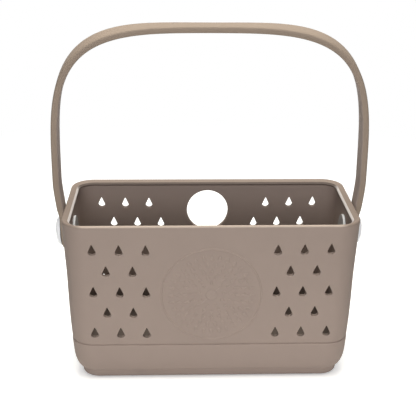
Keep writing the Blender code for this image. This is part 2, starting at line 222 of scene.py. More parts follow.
# Strap handle
STRAP_WIDTH = 25 * MM
STRAP_THICKNESS = 7.58 * MM
STRAP_TO_WALL = 1.7 * MM
PADDLE_MARGIN = 2.5 * MM
PADDLE_NECK = 28 * MM
PADDLE_THINNER = 2.0 * MM
PADDLE_THIN_RUN = 14 * MM
ARCH_SPREAD = 4.65 * MM
ARCH_SPRING_UP = 26 * MM
ARCH_RISE = 155.5 * MM
ARCH_FULLNESS = 3.9
SHOULDER_TURN = 7.5
SHOULDER_AT = 0.335
SHOULDER_SPREAD = 0.18
STRAP_SQUARENESS = 5.2
STRAP_SECTION_STEPS = 56
SECTION_FINE_STEPS = 1600
STRAP_STATIONS = 260
PADDLE_STATIONS = 18
PADDLE_END_GAP = 0.15
ARCH_PATH_STEPS = 600
LEG_PATH_STEPS = 300
EYE_STEPS = 48
CUTTER_PAST = 10 * MM
STRAP_SMOOTH_ANGLE = 50

# Derived sizes
RIM_THICKNESS = WALL + RIM_BEAD
FLOOR_TOP = RECESS + FLOOR
RIM_TOP = TUB_HEIGHT - RIM_SHY
DROP_TOP_ROW = TUB_HEIGHT - DROP_BELOW_RIM
DROP_OUTER_X = TUB_WIDTH / 2 - DROP_FROM_SIDE
HANG_HOLE_UP = TUB_HEIGHT - HANG_HOLE_DOWN
BADGE_UP = TUB_HEIGHT - BADGE_BELOW_RIM - BADGE_RADIUS
RIVET_UP = TUB_HEIGHT - RIVET_DOWN
WALL_AT_RIVET = TUB_WIDTH / 2 - RIVET_DOWN * SIDE_DRAFT
SHOULDER_RADIUS = STEM_RADIUS + SHOULDER_STEP
HEAD_RADIUS = STEM_RADIUS + HEAD_CATCH
EYE_RADIUS = SHOULDER_RADIUS + TURNING_GAP
RIVET_HOLE_RADIUS = STEM_RADIUS + TURNING_GAP
SOCKET_RADIUS = HEAD_RADIUS + TURNING_GAP
BACKING_FACE = WALL_AT_RIVET - WALL - TURNING_GAP
BACKING_THICKNESS = SOCKET_DEPTH + BACKING_ROOF
PADDLE_RADIUS = BUTTON_RADIUS + PADDLE_MARGIN
STRAP_MIDDLE = WALL_AT_RIVET + STRAP_TO_WALL + STRAP_THICKNESS / 2
STRAP_OUTSIDE = WALL_AT_RIVET + STRAP_TO_WALL + STRAP_THICKNESS
ARCH_HALF_WIDTH = STRAP_MIDDLE + ARCH_SPREAD
ARCH_SPRING = TUB_HEIGHT + ARCH_SPRING_UP

# A noise is its scale, detail and roughness, and most of its values lie in this range.
# A bump is its strength and distance.
NOISE_SPAN = (0.3, 0.7)

# Foam
CLOUD = (9.0, 2.0)
MOTTLE = (60.0, 4.0, 0.6)
GRAIN = (1500.0, 2.0)
GRAIN_BUMP = (0.10, 0.2 * MM)
PORES = (520.0, 2.0)
PORES_BUMP = (0.06, 0.4 * MM)
DRAG = (30.0, 3.0)
DRAG_STRETCH = (0.35, 0.35, 9.0)
DRAG_BUMP = (0.10, 1.0 * MM)
SWELL = (11.0, 1.0, 0.4)
SWELL_BUMP = (0.35, 4.0 * MM)
# Pointiness over which sharp edges get a painted highlight
EDGE_HIGHLIGHT = (0.515, 0.56)
FOAM_SPECULAR = 0.22

# White plastic
TINT = (70.0,)
MARKS = (420.0, 4.0, 0.7)
MARKS_SPAN = (0.35, 0.7)
RIPPLE = (260.0, 2.0)
RIPPLE_BUMP = (0.05, 0.3 * MM)
PLASTIC_SPECULAR = 0.5
COAT_ROUGHNESS = 0.15

# Tones that stand for the light in the photo. Ranges are start, end, share at the start and at the
# end, over how squarely a face points away from the middle along X: 1, or -1 towards it.
BLACK = (0, 0, 0)
TUB_OUTWARD = (0.72, 1.0, 0, 0.22)
STRAP_OUTWARD = (0.3, 0.8, 0, 0.17)
STRAP_INWARD = (-0.9, -0.4, 0.8, 0)
BACKING_INWARD = (-0.9, -0.6, 1, 0)
INNER_STRAP = (0.50, 0.41, 0.37)

# The tub's inside, darker towards its floor. It faces a point on the tub's axis at this height.
INSIDE_SHADE = 0.66
INSIDE_SHADE_Z = (82 * MM, 24 * MM)
INSIDE_MIDDLE_UP = 50 * MM
INSIDE_FACING = (10 * MM, 30 * MM)

# Painted light on the rim: highlight, sheen and shade tones, and where each begins and is full
RIM_FRONT_HIGHLIGHT = (0.54, 0.435, 0.365)
RIM_SIDE_SHEEN = (0.70, 0.64, 0.62)
RIM_SLOPE_SHADE = (0.295, 0.228, 0.19)
RIM_SHADED = (0.13, 0.10, 0.085)
TONE_X = (TUB_WIDTH / 2 - 24 * MM, TUB_WIDTH / 2 - 14 * MM)
TONE_BACK_Y = (44 * MM, 58 * MM)
TONE_FRONT_Y = (-48 * MM, -66 * MM)
TONE_RIM_Z = (RIM_TOP - 5.2 * MM, RIM_TOP - 4.6 * MM)
TONE_TOP_Z = (RIM_TOP - 1.9 * MM, RIM_TOP - 1.1 * MM)
TONE_SLOPE_Z = (RIM_TOP - 2.6 * MM, RIM_TOP - 2.0 * MM)
TONE_STRIP = (0.2 * MM, -0.3 * MM)

# Light on the object, tuned so that a colour renders about as it is written
WORLD_LIGHT = 0.27
WORLD_SIDES = 0.0
FLOOR_BOUNCE = 0.85
SIDE_BOUNCE = 0.20
SIDE_START = 0.17
SIDE_END = 0.38
LIGHT_AIM = (0, 0, 0.15)

# The floor as it is seen: shaded round the foot, then paler, then plain white
FLOOR_SEEN = 0.90
FLOOR_LIFT = 0.48
FLOOR_REACH = 9.0
FADE_START = 0.32
FADE_END = 0.95
FOOT_CORNER = (TUB_WIDTH / 2 - 36 * MM, TUB_DEPTH / 2 - 32 * MM, 0)
CONTACT_START = 13 * MM
CONTACT_END = 24 * MM

# Camera, fitted to points measured in the photograph. Angles are in degrees.
CAMERA_DISTANCE = 988.359 * MM
CAMERA_ELEVATION = 20.419
CAMERA_YAW = -2.119
CAMERA_ROLL = 0.497
CAMERA_AIM = (-1.7 * MM, 0, 166.72 * MM)
CAMERA_LENS = 80.885
CAMERA_SENSOR = 36
CAMERA_NEAREST = 0.05


def smooth(u):
    """Eases from 0 to 1 as u does, and stays level outside that range."""
    u = min(max(u, 0), 1)
    return u * u * (3 - 2 * u)


def quarter_turn(steps, end_gap=0):
    """(sine, cosine) at even steps from 0 to a quarter turn, or to a little less of it."""
    angles = [math.pi / 2 * step / (steps + end_gap) for step in range(steps + 1)]
    return [(math.sin(angle), math.cos(angle)) for angle in angles]


def new_object(name, data):
    obj = bpy.data.objects.new(name, data)
    bpy.context.scene.collection.objects.link(obj)
    return obj


def finished_mesh(name, verts, faces, material, smooth_angle=None):
    """A shaded mesh object from points and faces, doubles merged and normals facing out."""
    mesh = bpy.data.meshes.new(name)
    mesh.from_pydata(verts, [], faces)
    shape = bmesh.new()
    shape.from_mesh(mesh)
    bmesh.ops.remove_doubles(shape, verts=shape.verts[:], dist=MERGE_REACH)
    bmesh.ops.recalc_face_normals(shape, faces=shape.faces[:])
    shape.to_mesh(mesh)
    shape.free()
    mesh.materials.append(material)
    mesh.shade_smooth()
    if smooth_angle is not None:
        mesh.set_sharp_from_angle(angle=math.radians(smooth_angle))
    return new_object(name, mesh)


def joined(rings, skipped=(), capped=True):
    """Points and faces of closed rings joined in order, less the skipped (row, column) faces."""
    count = len(rings[0])
    verts = [point for ring in rings for point in ring]
    faces = []
    for row in range(len(rings) - 1):
        low = row * count
        high = low + count
        for i in range(count):
            if (row, i) not in skipped:
                j = (i + 1) % count
                faces.append((low + i, low + j, high + j, high + i))
    if capped:
        faces.append(tuple(range(count)))
        faces.append(tuple(range(len(verts) - count, len(verts))))
    return verts, faces


def half_size(z, inset):
    """Half width and half depth of the tub's outside at a height, less an inset.

    The sides bow out a little at half height, as the soft walls of the real one do.
    """
    below = TUB_HEIGHT - z
    bow = SIDE_BOW * math.sin(math.pi * min(max(z, 0), SIDE_BOW_TOP) / SIDE_BOW_TOP) ** 2
    half_x = TUB_WIDTH / 2 - below * SIDE_DRAFT - inset + bow
    return half_x, TUB_DEPTH / 2 - below * FRONT_DRAFT - inset


def corner_radius(inset):
    return max(CORNER_RADIUS - inset, LEAST_CORNER)


def tub_ring(z, inset):
    """One level of the tub, its four corners each followed by a straight run."""
    half_x, half_y = half_size(z, inset)
    radius = corner_radius(inset)
    corners = []
    for quarter, (sign_x, sign_y) in enumerate(((1, 1), (-1, 1), (-1, -1), (1, -1))):
        arc = []
        for step in range(CORNER_STEPS + 1):
            angle = math.pi / 2 * (quarter + step / CORNER_STEPS)
            x = sign_x * (half_x - radius) + radius * math.cos(angle)
            y = sign_y * (half_y - radius) + radius * math.sin(angle)
            arc.append((x, y, z))
        corners.append(arc)
    points = []
    for quarter in range(4):
        points += corners[quarter]
        x0, y0, _ = corners[quarter][-1]
        x1, y1, _ = corners[(quarter + 1) % 4][0]
        steps = (LONG_RUN_STEPS, SHORT_RUN_STEPS)[quarter % 2]
        for step in range(1, steps):
            u = step / steps
            points.append((x0 + (x1 - x0) * u, y0 + (y1 - y0) * u, z))
    return points


def softened(profile):
    """Levels along a (z, inset, radius) line, with its corners rounded off."""
    levels = []
    for i, (z, inset, radius) in enumerate(profile):
        if radius == 0 or i in (0, len(profile) - 1):
            levels.append((z, inset))
            continue
        ends = []
        for other in (profile[i - 1], profile[i + 1]):
            dz = other[0] - z
            di = other[1] - inset
            length = math.hypot(dz, di)
            reach = min(radius, length * SOFT_SHARE)
            ends.append((z + dz * reach / length, inset + di * reach / length))
        (z0, inset0), (z1, inset1) = ends
        for step in range(SOFT_STEPS + 1):
            u = step / SOFT_STEPS
            a, b, c = (1 - u) ** 2, 2 * u * (1 - u), u**2
            levels.append((a * z0 + b * z + c * z1, a * inset0 + b * inset + c * inset1))
    return levels


def levels_between(low, high, inset):
    count = max(1, round(abs(high - low) / WALL_STEP))
    return [(low + (high - low) * i / count, inset) for i in range(count + 1)]


def base_levels():
    """Levels of the outside, from the recess below up to just over the groove."""
    ring_inner = FOOT_INSET + FOOT_RING
    profile = [(RECESS, ring_inner + RECESS / 2, 0), (0, ring_inner, FOOT_RING_EDGE)]
    for sine, cosine in quarter_turn(FOOT_ROUND_STEPS):
        profile.append((FOOT_ROUND * (1 - cosine), FOOT_INSET + FOOT_ROUND * (1 - sine), 0))
    profile.append((FOOT_HEIGHT - CREASE, FOOT_INSET, CREASE_LOW_EDGE))
    profile.append((FOOT_HEIGHT, FOOT_INSET + CREASE / 2, CREASE_HIGH_EDGE))
    belly_depth = FOOT_INSET - CREASE + BAND_PROUD
    belly_high = BELLY_TOP - FOOT_HEIGHT - CREASE / 2
    for sine, cosine in quarter_turn(BELLY_STEPS)[::-1]:
        inset = belly_depth * (1 - cosine) - BAND_PROUD
        profile.append((BELLY_TOP - belly_high * sine, inset, 0))
    for up, inset, radius in GROOVE_LINE:
        profile.append((BAND_TOP + up * GROOVE_HALF, inset, radius))
    return softened(profile)


def rim_levels():
    """Over the rim: a soft outer round, a slope down inward and a bevelled lip below it."""
    levels = []
    for sine, cosine in quarter_turn(RIM_ROUND_STEPS):
        levels.append((RIM_TOP - RIM_ROUND_HIGH * (1 - sine), RIM_ROUND * (1 - cosine)))
    inner = RIM_THICKNESS + RIM_LIP
    lip = RIM_TOP - RIM_FALL - RIM_STRIP
    under = RIM_TOP - RIM_HEIGHT - 2 * RIM_BEAD
    tail = [
        (RIM_TOP, RIM_ROUND, 0),
        (RIM_TOP, RIM_ROUND + RIM_RIDGE, RIM_RIDGE_EDGE),
        (RIM_TOP - RIM_FALL, inner - RIM_STRIP, RIM_EDGE),
        (lip, inner, RIM_EDGE),
        (lip - RIM_LIP_HIGH, inner, RIM_EDGE),
        (under, WALL, RIM_UNDER_EDGE),
        (under - RIM_UNDER_RUN, WALL, 0),
    ]
    return levels + softened(tail)[1:]


def floor_levels():
    """Down the round between the inner wall and the floor."""
    return [
        (FLOOR_TOP + FLOOR_FILLET_HIGH * (1 - sine), WALL + FLOOR_FILLET_WIDE * (1 - cosine))
        for sine, cosine in quarter_turn(FILLET_STEPS)
    ]


def drop_outline():
    """(x, z, outward x, outward z) round a drain hole: an oval drawn up to a small soft tip."""
    half = DROP_WIDTH / 2
    apex = DROP_HEIGHT - DROP_BELLY
    lift = apex - DROP_HEIGHT / 2
    touch = math.asin(DROP_BELLY / apex)
    points = []
    for step in range(DROP_BELLY_STEPS + 1):
        angle = touch - (math.pi + 2 * touch) * step / DROP_BELLY_STEPS
        u, v = DROP_BELLY * math.cos(angle), half * math.sin(angle)
        size = math.hypot(u, v)
        x, z = half * math.cos(angle), DROP_BELLY * math.sin(angle) - lift
        points.append((x, z, u / size, v / size))
    side_u, side_v = points[0][2:]
    tip_up = apex - lift - DROP_TIP / side_v
    lean = math.atan2(side_v, side_u)
    arc = []
    for step in range(DROP_TIP_STEPS + 1):
        angle = math.pi - lean - (math.pi - 2 * lean) * step / DROP_TIP_STEPS
        u, v = math.cos(angle), math.sin(angle)
        arc.append((DROP_TIP * u, tip_up + DROP_TIP * v, u, v))
    return points + flank(points[-1], arc[0]) + arc + flank(arc[-1], points[0])


def flank(start, end):
    """Points along a straight side between two others, with the side's own direction out."""
    points = []
    for step in range(1, DROP_FLANK_STEPS):
        u = step / DROP_FLANK_STEPS
        x, z = (start[k] + (end[k] - start[k]) * u for k in (0, 1))
        points.append((x, z, *start[2:]))
    return points


def round_outline(radius, steps):
    """(x, z, outward x, outward z) round a circle."""
    angles = [-2 * math.pi * step / steps for step in range(steps)]
    ways = [(math.cos(angle), math.sin(angle)) for angle in angles]
    return [(radius * u, radius * v, u, v) for u, v in ways]


def drop_places(centre_up, keep_clear):
    """Centres of the holes: staggered rows that rise a little towards the corners.

    They are mirrored in X and stay clear of a circle.
    """
    lowest = BAND_TOP + DROP_TO_BAND + DROP_HEIGHT / 2
    places = []
    row = 0
    while DROP_TOP_ROW - row * DROP_PITCH_Z >= lowest:
        z = DROP_TOP_ROW - row * DROP_PITCH_Z
        start = DROP_OUTER_X - (row % 2) * DROP_PITCH_X / 2
        for column in range(DROPS_ACROSS):
            x = start - column * DROP_PITCH_X
            if math.hypot(x, z - centre_up) >= keep_clear and x > DROP_WIDTH:
                up = z + DROP_ROW_LIFT * (x / DROP_OUTER_X) ** 2
                places += [(-x, up), (x, up)]
        row += 1
    return places


class Shell:
    """Points and faces of the tub as they are gathered."""

    def __init__(self):
        self.verts = []
        self.faces = []

    def add(self, verts, faces):
        first = len(self.verts)
        self.verts += verts
        self.faces += [tuple(first + i for i in face) for face in faces]


def wall_point(side, u, z, inset):
    """Place on one wall: u runs along X on the front and back, and along Y on the sides."""
    half_x, half_y = half_size(z, inset)
    radius = corner_radius(inset)
    along, out = (half_x, half_y) if side in LONG_SIDES else (half_y, half_x)
    over = max(abs(u) - (along - radius), 0)
    away = out - radius + math.sqrt(max(radius**2 - over**2, 0))
    if side in ("front", "left"):
        away = -away
    return (u, away, z) if side in LONG_SIDES else (away, u, z)


def inside_loop(u, z, loop):
    """Whether a point is inside a closed loop."""
    inside = False
    for (u0, z0), (u1, z1) in zip(loop, loop[1:] + loop[:1]):
        if (z0 > z) != (z1 > z) and u < u0 + (u1 - u0) * (z - z0) / (z1 - z0):
            inside = not inside
    return inside


def surround(loop):
    """Centre and radius of a circle that holds a loop."""
    us = [u for u, _ in loop]
    zs = [z for _, z in loop]
    centre = ((min(us) + max(us)) / 2, (min(zs) + max(zs)) / 2)
    return centre, max(math.hypot(u - centre[0], z - centre[1]) for u, z in loop)


def patch_grid(side, inset, low, high, circles):
    """Staggered places on a wall between two heights, clear of its ends and of the circles."""
    places = []
    row = 1
    while low + row * PATCH_PITCH < high - PATCH_TOP_MARGIN * PATCH_PITCH:
        z = low + row * PATCH_PITCH
        half_x, half_y = half_size(z, inset)
        span = (half_x if side in LONG_SIDES else half_y) - corner_radius(inset)
        count = int(span / PATCH_PITCH)
        for column in range(-count - 1, count + 2):
            u = (column + 0.5 * (row % 2)) * PATCH_PITCH
            near = any(
                math.hypot(u - cu, z - cz) < reach + PATCH_HOLE_MARGIN * PATCH_PITCH
                for (cu, cz), reach in circles
            )
            if abs(u) <= span - PATCH_END_MARGIN * PATCH_PITCH and not near:
                places.append((u, z))
        row += 1
    return places


def wall_patch(shell, side, inset, edge, holes):
    """One wall between its edge loop of 3D points and its holes, each a loop of (u, z)."""
    flat = [(x if side in LONG_SIDES else y, z) for x, y, z in edge]
    circles = [surround(loop) for loop in holes]
    points = []
    edges = []
    for loop in [flat] + holes:
        first = len(points)
        points += loop
        edges += [(first + i, first + (i + 1) % len(loop)) for i in range(len(loop))]
    heights = [z for _, z in flat]
    points += patch_grid(side, inset, min(heights), max(heights), circles)
    scaled = [Vector((u / MM, z / MM)) for u, z in points]
    made, _, faces, origins, _, _ = delaunay_2d_cdt(scaled, edges, [], 1, PATCH_EPSILON)
    verts = []
    for vert, origin in zip(made, origins):
        if origin and origin[0] < len(edge):
            verts.append(edge[origin[0]])
        else:
            place = points[origin[0]] if origin else (vert[0] * MM, vert[1] * MM)
            verts.append(wall_point(side, *place, inset))
    kept = []
    for face in faces:
        u, z = (sum(made[i][k] for i in face) / len(face) * MM for k in (0, 1))
        in_hole = any(
            math.hypot(u - cu, z - cz) <= reach and inside_loop(u, z, loop)
            for ((cu, cz), reach), loop in zip(circles, holes)
        )
        if not in_hole:
            kept.append(tuple(face))
    shell.add(verts, kept)


def tunnel(shell, side, outline, centre, round_off):
    """The rounded edges and the bore of one hole. Returns the loop that bounds it on the wall."""
    reach = round_off + HOLE_REST
    outer = [(reach, 0)]
    for sine, cosine in quarter_turn(HOLE_EDGE_STEPS):
        outer.append((round_off * (1 - sine), round_off * (1 - cosine)))
    inward = 1 if side in ("front", "left") else -1
    rings = []
    for inset, way, order in ((0, inward, outer), (WALL, -inward, outer[::-1])):
        for offset, depth in order:
            ring = []
            for u, v, nu, nv in outline:
                place = (centre[0] + u + nu * offset, centre[1] + v + nv * offset)
                x, y, z = wall_point(side, *place, inset)
                if side in LONG_SIDES:
                    ring.append((x, y + way * depth, z))
                else:
                    ring.append((x + way * depth, y, z))
            rings.append(ring)
    shell.add(*joined(rings, capped=False))
    return [(centre[0] + u + nu * reach, centre[1] + v + nv * reach) for u, v, nu, nv in outline]


def relief_drops():
    """(radius, angle, length) of the small raised drops that fill the badge, ring by ring."""
    return [
        (radius, 2 * math.pi * (i + turn) / count + math.pi / 2, length)
        for count, radius, length, turn in RELIEF_RINGS
        for i in range(count)
    ]


def drop_gap(side, ahead, length):
    """How far outside one relief drop's outline a place is, below 0 inside it.

    The drop has a round belly at its inner end and flanks that taper to its point.
    """
    belly = length * RELIEF_BELLY
    low = -length / 2 + belly
    if ahead < low:
        return math.hypot(side, ahead - low) - belly
    share = (ahead - low) / (length - belly)
    if share > 1:
        return math.hypot(side, (share - 1) * (length - belly))
    return (abs(side) - belly * (1 - share) ** RELIEF_TAPER) * RELIEF_FLANK_SLOPE


def relief_height(x, z, drops):
    """How far the badge's relief stands out at a place measured from its centre."""
    radius = math.hypot(x, z)
    total = 0.0
    from_bead = abs(radius - BADGE_RADIUS) / BADGE_BEAD_HALF
    if from_bead < 1:
        total = BADGE_BEAD_HIGH * (0.5 + 0.5 * math.cos(math.pi * from_bead))
    if radius < BOSS_RADIUS:
        return total + RELIEF_HIGH * smooth((BOSS_RADIUS - radius) / BOSS_EDGE)
    if radius < RELIEF_FROM or radius > RELIEF_TO:
        return total
    around = math.atan2(z, x)
    for ring, angle, length in drops:
        if abs(radius - ring) > length * RELIEF_REACH:
            continue
        turn = (around - angle + math.pi) % (2 * math.pi) - math.pi
        side = radius * math.sin(turn)
        ahead = radius * math.cos(turn) - ring
        if abs(side) <= length * RELIEF_HALF_WIDTH and abs(ahead) <= length:
            inside = -drop_gap(side, ahead, length) / RELIEF_EDGE + RELIEF_EDGE_START
            return total + RELIEF_HIGH * smooth(inside)
    return total


def badge(shell):
    """The badge's raised ring and relief as one fine round patch. Returns its edge loop."""
    drops = relief_drops()
    rings = []
    radius = edge = BADGE_RADIUS + BADGE_MARGIN
    while radius > BADGE_MIDDLE:
        ring = []
        for x, z, _, _ in round_outline(radius, BADGE_STEPS):
            px, py, pz = wall_point("front", x, BADGE_UP + z, 0)
            rise = 0 if radius == edge else relief_height(x, z, drops)
            ring.append((px, py - rise, pz))
        rings.append(ring)
        near_bead = abs(radius - BADGE_RADIUS) < BADGE_BEAD_HALF + BADGE_FINE_MARGIN
        radius -= BADGE_FINE_STEP if near_bead else BADGE_RING_STEP
    verts, faces = joined(rings, capped=False)
    last = len(verts) - BADGE_STEPS
    for i in range(BADGE_STEPS):
        faces.append((last + i, last + (i + 1) % BADGE_STEPS, len(verts)))
    px, py, pz = wall_point("front", 0, BADGE_UP, 0)
    verts.append((px, py - relief_height(0, 0, drops), pz))
    shell.add(verts, faces)
    return [(x, BADGE_UP + z) for x, z, _, _ in round_outline(edge, BADGE_STEPS)]


def add_rings(shell):
    """The tub's rings, joined except where a wall patch goes. Returns each patch's edge loop."""
    base = base_levels()
    rim = rim_levels()
    outer_wall = levels_between(base[-1][0], rim[0][0], 0)[1:-1]
    inner_wall = levels_between(rim[-1][0], FLOOR_TOP + FLOOR_FILLET_HIGH, WALL)[1:-1]
    levels = base + outer_wall + rim + inner_wall + floor_levels()
    rings = [tub_ring(z, inset) for z, inset in levels]
    count = len(rings[0])
    outer_low = len(base) - 1
    outer_high = outer_low + len(outer_wall)
    inner_low = outer_high + len(rim)
    inner_high = inner_low + len(inner_wall) - PATCH_SHORT_OF_FLOOR
    skipped = set()
    edges = {}
    first = CORNER_STEPS - PATCH_PAST_CORNER
    for side in ("back", "left", "front", "right"):
        steps = LONG_RUN_STEPS if side in LONG_SIDES else SHORT_RUN_STEPS
        columns = [(first + i) % count for i in range(steps + 2 * PATCH_PAST_CORNER + 1)]
        first += CORNER_STEPS + steps
        for low, high, inset in ((outer_low, outer_high, 0), (inner_low, inner_high, WALL)):
            for row in range(low, high):
                skipped |= {(row, column) for column in columns[:-1]}
            edge = [rings[low][c] for c in columns]
            edge += [rings[r][columns[-1]] for r in range(low + 1, high)]
            edge += [rings[high][c] for c in columns[::-1]]
            edge += [rings[r][columns[0]] for r in range(high - 1, low, -1)]
            edges[side, inset] = edge
    shell.add(*joined(rings, skipped))
    return edges


def make_tub(material):
    """The tub as one surface: its rings, the holes and the badge, then the walls round them."""
    shell = Shell()
    edges = add_rings(shell)
    drop = drop_outline()
    in_front = drop_places(BADGE_UP, BADGE_RADIUS + DROP_TO_BADGE)
    in_back = drop_places(HANG_HOLE_UP, HANG_HOLE_RADIUS + DROP_TO_HANG_HOLE)
    holes = {
        "front": [tunnel(shell, "front", drop, place, DROP_EDGE) for place in in_front],
        "back": [tunnel(shell, "back", drop, place, DROP_EDGE) for place in in_back],
    }
    hang = round_outline(HANG_HOLE_RADIUS, HANG_HOLE_STEPS)
    holes["back"].append(tunnel(shell, "back", hang, (0, HANG_HOLE_UP), HANG_HOLE_EDGE))
    stem = round_outline(RIVET_HOLE_RADIUS, RIVET_HOLE_STEPS)
    for side in ("left", "right"):
        holes[side] = [tunnel(shell, side, stem, (0, RIVET_UP), RIVET_HOLE_EDGE)]
    disc = badge(shell)
    for (side, inset), edge in edges.items():
        round_badge = [disc] if (side, inset) == ("front", 0) else []
        wall_patch(shell, side, inset, edge, holes[side] + round_badge)
    return finished_mesh("tub_shell", shell.verts, shell.faces, material)


def arch_point(t):
    """Middle line of the right half of the arch: t is 0 at the crown, 1 at the spring."""
    angle = math.pi / 2 * t
    power = 2 / ARCH_FULLNESS
    x = ARCH_HALF_WIDTH * math.sin(angle) ** power
    return x, ARCH_SPRING + ARCH_RISE * max(math.cos(angle), 0) ** power


def leg_point(z):
    """Middle line below the spring: it leans in to the paddle, which lies along the wall."""
    neck = RIVET_UP + PADDLE_RADIUS
    if z <= neck:
        return STRAP_MIDDLE + SIDE_DRAFT * (z - RIVET_UP), z
    neck_x = STRAP_MIDDLE + SIDE_DRAFT * (neck - RIVET_UP)
    span = ARCH_SPRING - neck
    u = (z - neck) / span
    start = SIDE_DRAFT * span
    rise = ARCH_HALF_WIDTH - neck_x
    x = neck_x + start * (u - 2 * u**2 + u**3) + rise * (3 * u**2 - 2 * u**3)
    return x, z


def half_path():
    """Points of the middle line from the crown down to the end of the right paddle."""
    points = [arch_point(step / ARCH_PATH_STEPS) for step in range(ARCH_PATH_STEPS + 1)]
    end = RIVET_UP - PADDLE_RADIUS
    for step in range(1, LEG_PATH_STEPS + 1):
        points.append(leg_point(ARCH_SPRING - (ARCH_SPRING - end) * step / LEG_PATH_STEPS))
    return points


def lengths_along(points, squash=1):
    """Length of a line of points up to each of them, its second axis scaled."""
    total = [0]
    for (a0, b0), (a1, b1) in zip(points, points[1:]):
        total.append(total[-1] + math.hypot(a1 - a0, (b1 - b0) * squash))
    return total


def at_length(points, lengths, s):
    """Point and direction of a line at a length along it."""
    low = 0
    high = len(lengths) - 1
    while high - low > 1:
        middle = (low + high) // 2
        if lengths[middle] <= s:
            low = middle
        else:
            high = middle
    span = lengths[high] - lengths[low]
    u = (s - lengths[low]) / span
    (x0, z0), (x1, z1) = points[low], points[high]
    return (x0 + u * (x1 - x0), z0 + u * (z1 - z0)), ((x1 - x0) / span, (z1 - z0) / span)


def strap_size(from_end):
    """Width and thickness of the strap at a distance from its rounded end."""
    edge = STRAP_THICKNESS / 2
    if from_end < PADDLE_RADIUS:
        reach = PADDLE_RADIUS - from_end
        width = 2 * math.sqrt(max(PADDLE_RADIUS**2 - reach**2, 0))
    else:
        ease = smooth((from_end - PADDLE_RADIUS) / PADDLE_NECK)
        width = 2 * PADDLE_RADIUS + (STRAP_WIDTH - 2 * PADDLE_RADIUS) * ease
    thickness = STRAP_THICKNESS
    if from_end < edge:
        thickness *= math.sqrt(1 - (1 - from_end / edge) ** 2)
    return width, thickness


def paddle_recess(from_end):
    """How far the outer face is set back round the button, easing out to nothing above it."""
    above = from_end - 2 * PADDLE_RADIUS + PADDLE_MARGIN
    return PADDLE_THINNER * (1 - smooth(above / PADDLE_THIN_RUN))


def unit_section():
    """The strap's section on a unit scale, its points spread evenly round it."""
    power = 2 / STRAP_SQUARENESS
    fine = []
    for i in range(SECTION_FINE_STEPS):
        angle = 2 * math.pi * i / SECTION_FINE_STEPS
        turn = (math.cos(angle), math.sin(angle))
        fine.append(tuple(math.copysign(abs(part) ** power, part) for part in turn))
    fine.append(fine[0])
    lengths = lengths_along(fine, STRAP_THICKNESS / STRAP_WIDTH)
    points = []
    for i in range(STRAP_SECTION_STEPS):
        s = lengths[-1] * (i + 0.5) / STRAP_SECTION_STEPS
        points.append(at_length(fine, lengths, s)[0])
    return points


def strap_rings():
    """Sections of the strap from its left end over the crown to its right end."""
    path = half_path()
    lengths = lengths_along(path)
    total = lengths[-1]
    ends = total - PADDLE_RADIUS
    half = [ends * step / (STRAP_STATIONS // 2) for step in range(STRAP_STATIONS // 2 + 1)]
    for sine, _ in quarter_turn(PADDLE_STATIONS, PADDLE_END_GAP)[1:]:
        half.append(ends + PADDLE_RADIUS * sine)
    section = unit_section()
    rings = []
    for s in [-s for s in half[:0:-1]] + half:
        side = -1 if s < 0 else 1
        (x, z), (dx, dz) = at_length(path, lengths, abs(s))
        width, thickness = strap_size(total - abs(s))
        recess = paddle_recess(total - abs(s))
        thickness *= 1 - recess / STRAP_THICKNESS
        from_shoulder = (abs(s) / total - SHOULDER_AT) / SHOULDER_SPREAD
        turn = math.radians(SHOULDER_TURN) * math.exp(-(from_shoulder**2))
        ring = []
        for a, b in section:
            across = a * width / 2
            out = b * thickness / 2 - recess / 2
            back = across * math.cos(turn) - out * math.sin(turn)
            away = across * math.sin(turn) + out * math.cos(turn)
            ring.append((side * (x - away * dz), back, z + away * dx))
        rings.append(ring)
    return rings


def make_strap(material):
    """The strap, with a round eye cut through each end."""
    strap = finished_mesh("handle_band", *joined(strap_rings()), material)
    reach = STRAP_OUTSIDE + CUTTER_PAST
    eye = round_outline(EYE_RADIUS, EYE_STEPS)
    rings = [[(x, u, RIVET_UP + v) for u, v, _, _ in eye] for x in (-reach, reach)]
    bar = finished_mesh("eye_bar", *joined(rings), material)
    modifier = strap.modifiers.new("eyes", "BOOLEAN")
    modifier.operation = "DIFFERENCE"
    modifier.solver = "EXACT"
    modifier.object = bar
    evaluated = strap.evaluated_get(bpy.context.evaluated_depsgraph_get())
    mesh = bpy.data.meshes.new_from_object(evaluated)
    strap.modifiers.clear()
    strap.data = mesh
    bpy.data.objects.remove(bar)
    mesh.shade_smooth()
    mesh.set_sharp_from_angle(angle=math.radians(STRAP_SMOOTH_ANGLE))
    return strap


def turned(name, material, profile, lean_from, side):
    """A profile of (x, radius) turned about X, its part past lean_from leaning with the wall."""
    rings = []
    for x, radius in profile:
        lean = SIDE_DRAFT if x > lean_from else 0
        outline = round_outline(radius, ROUND_STEPS)
        rings.append([(side * (x + lean * z), y, RIVET_UP + z) for y, z, _, _ in outline])
    return finished_mesh(name, *joined(rings), material, smooth_angle=CAP_SMOOTH_ANGLE)


def dome(start, height, radius):
    """(x, radius) down a shallow cap from its edge to its middle."""
    turns = quarter_turn(DOME_STEPS, DOME_END_GAP)[1:]
    return [(start + height * sine, radius * cosine) for sine, cosine in turns]


def rounded_edge(x0, x1, radius, cut):
    """(x, radius) over the round rim of a cap, from its flat underside to its dome."""
    turns = quarter_turn(CAP_EDGE_STEPS)
    return [(x0 + (x1 - x0) * (1 - cosine), radius - cut + cut * sine) for sine, cosine in turns]


